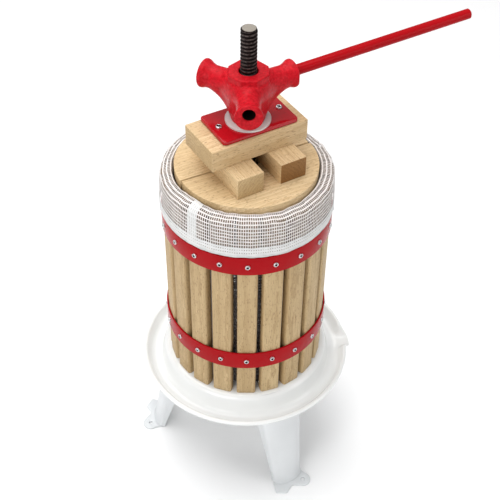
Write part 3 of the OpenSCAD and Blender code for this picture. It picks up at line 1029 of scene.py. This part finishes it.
def make_filter_bag():
    """A net of knitted yarn: a sheet with a hole in each cell, dense at the hem and the seam. Over the gaps
    between the staves the lining is painted near black, as shade. A cell takes three points of each line:
    the middle of its first thread, and the two sides of its hole."""
    columns = 244
    profile = bag_profile()
    total = along_profile(profile, [0])[1]
    lines, open_band = net_lines(total)
    path, _ = along_profile(profile, lines)
    radius, height = path[:, 0][:, None], path[:, 1][:, None]
    in_hem = lines < HEM_FOLD + 20 * MM
    in_lining = (path[:, 0] < basket_in) & (path[:, 1] < stave_top)
    cells = np.repeat(np.arange(columns), 3)
    seam_cell = columns * (360 + NET_SEAM_AT) / 360
    in_seam = np.abs(cells - seam_cell) < 2.3
    thread_share = np.where(in_hem, 0.7, np.where(in_lining, 0.6, 0.34))[:, None]
    thread_share = np.where(in_seam & ~in_lining[:, None], 0.9, thread_share)
    sides = np.tile([0, 1, -1], columns)
    in_cell = np.where(sides == 0, 0, 0.5 - 0.5 * sides * (1 - thread_share))
    around = (cells + in_cell) / columns * 2 * math.pi
    from_stave = (around + math.pi / 2 + stave_step / 2) % stave_step - stave_step / 2
    over_gap = np.abs(from_stave) * basket_in > stave_w / 2 - 2.5 * MM
    on_rim = np.clip((height - stave_top + 12 * MM) / (12 * MM), 0, 1)
    outer = np.clip((radius - basket_in) / (basket_out - basket_in), 0, 1)
    sway = (np.sin(3 * around + 1.1) + 0.6 * np.sin(7 * around + 0.4) + 0.4 * np.sin(17 * around)) / 2
    ripple = np.sin(29 * around + 2 * np.sin(3 * around))
    slump = bell(around, NET_SEAM_AT - 6, 13)
    lean_in = bell(around, -5, 40)
    inward = on_rim * (1 - outer) * MM * (2.5 * slump + 3.2 * lean_in)
    r = radius + outer * 0.5 * MM * (sway + 0.4 * ripple) ** 2 - inward
    z = height + outer * 0.7 * MM * sway + on_rim * MM * (1.5 * sway + 0.5 * ripple + 2.5 * slump)
    own = random.uniform(0, 2 * math.pi, (len(lines), 1))
    z = z + 0.25 * MM * (np.sin(19 * around + own) + np.sin(43 * around + 2.3 * own))
    r, z = np.broadcast_arrays(r, z)
    points = np.stack([r * np.cos(around), r * np.sin(around), z], -1).reshape(-1, 3)

    width = 3 * columns
    # The lining over the gaps between staves gets the near-black yarn, as painted shade
    gap_shade = in_lining[:, None] & over_gap
    dense = in_hem[:, None] | in_seam
    finish_at = np.where(gap_shade, 2, np.where(dense, 1, 0))  # an index into the materials below
    faces, finish = [], []
    for a, holed in enumerate(open_band):
        for b in range(width):
            if holed and b % 3 == 1:
                continue
            c = (b + 1) % width
            faces.append((a * width + b, a * width + c, (a + 1) * width + c, (a + 1) * width + b))
            finish.append(int(finish_at[a, b]))
    made = new_object("filter_bag_net", points, faces, [yarn, hem_yarn, gap_shade_yarn])
    made.data.polygons.foreach_set("material_index", finish)
    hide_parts("filter_bag")
    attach(made, "stand")


# ---- carried-over CAD nodes ----

def dress_cad_nodes():
    """Gives the CAD nodes that stay in sight their finishes."""
    finishes = {
        "leg_bolts": zinc, "leg_nuts": zinc, "spindle_washer": zinc, "spindle_lower_nut": oxide,
        "spindle_upper_nut": oxide, "slide_washer": white_nylon, "handle_bar": red_enamel,
    }
    for name, material in finishes.items():
        node = nodes[name]
        node.data.materials.clear()
        node.data.materials.append(material)
    bevel(nodes["slide_washer"], 0.8 * MM)


# ---- stage ----

def make_camera():
    """The studio camera. Yaw turns it to the right of +Y, pitch down, and roll about its own axis."""
    place = Vector((-0.02143, -1.22986, 1.60794))
    yaw, pitch, roll = 0.0225, 0.7507, 0.0159
    forward = Vector((math.sin(yaw) * math.cos(pitch), math.cos(yaw) * math.cos(pitch), -math.sin(pitch)))
    level = Vector((math.cos(yaw), -math.sin(yaw), 0))
    above = level.cross(forward)
    right = math.cos(roll) * level + math.sin(roll) * above
    top = math.cos(roll) * above - math.sin(roll) * level
    data = bpy.data.cameras.new("studio_camera")
    data.sensor_width = 36
    data.lens = 70.73
    camera = bpy.data.objects.new("studio_camera", data)
    turn = Matrix((right, top, -forward)).transposed().to_4x4()
    camera.matrix_world = Matrix.Translation(place) @ turn
    bpy.context.scene.collection.objects.link(camera)
    bpy.context.scene.camera = camera


def add_softbox(name, place, target, size, watts):
    """A rectangular light that points at the target."""
    data = bpy.data.lights.new(name, "AREA")
    data.shape = "RECTANGLE"
    data.size, data.size_y = size
    data.energy = watts
    lamp = bpy.data.objects.new(name, data)
    lamp.location = place
    lamp.rotation_euler = (Vector(target) - Vector(place)).to_track_quat("-Z", "Y").to_euler()
    bpy.context.scene.collection.objects.link(lamp)


def make_stage():
    """A pale floor, three softboxes, and a grey sky that is lighter overhead."""
    floor_paint = new_material("floor_paint", Roughness=0.9)
    clouds = noise(floor_paint, object_place(floor_paint), 3)
    white = ramp(floor_paint, clouds, (0.3, (0.93, 0.93, 0.93)), (0.7, (0.95, 0.95, 0.95)))
    link(floor_paint, white, "Base Color")
    half = 40
    corners = [(-half, -half, 0), (half, -half, 0), (half, half, 0), (-half, half, 0)]
    floor = new_object("floor", corners, [(0, 1, 2, 3)], [floor_paint])

    middle = (0, 0, 0.5)
    add_softbox("top_box", (-0.5, 0.5, 3.2), middle, (3.0, 3.0), 94)
    add_softbox("front_box", (-1.5, -2.7, 1.7), middle, (2.2, 1.8), 44)
    add_softbox("right_box", (2.6, -0.9, 1.5), middle, (1.2, 1.8), 14)

    world = bpy.data.worlds.new("studio")
    bpy.context.scene.world = world
    world.use_nodes = True
    direction = add(world, "TexCoord").outputs["Generated"]
    upward = add(world, "SeparateXYZ", {"Vector": direction}).outputs["Z"]
    sky = ramp(world, upward, (0.0, (0.42, 0.42, 0.43)), (1.0, (0.95, 0.95, 0.95)))
    background = world.node_tree.nodes["Background"]
    world.node_tree.links.new(sky, background.inputs["Color"])
    background.inputs["Strength"].default_value = 0.62
    bpy.context.scene.view_settings.view_transform = "Standard"


make_camera()
make_stage()
make_pan()
for leg_name, leg_angle in LEG_ANGLES.items():
    make_leg(leg_name, leg_angle)
make_wood()
make_hoop("hoop_lower")
make_hoop("hoop_upper")
make_plate()
make_all_screws()
make_spindle()
make_arm_nut()
make_filter_bag()
dress_cad_nodes()
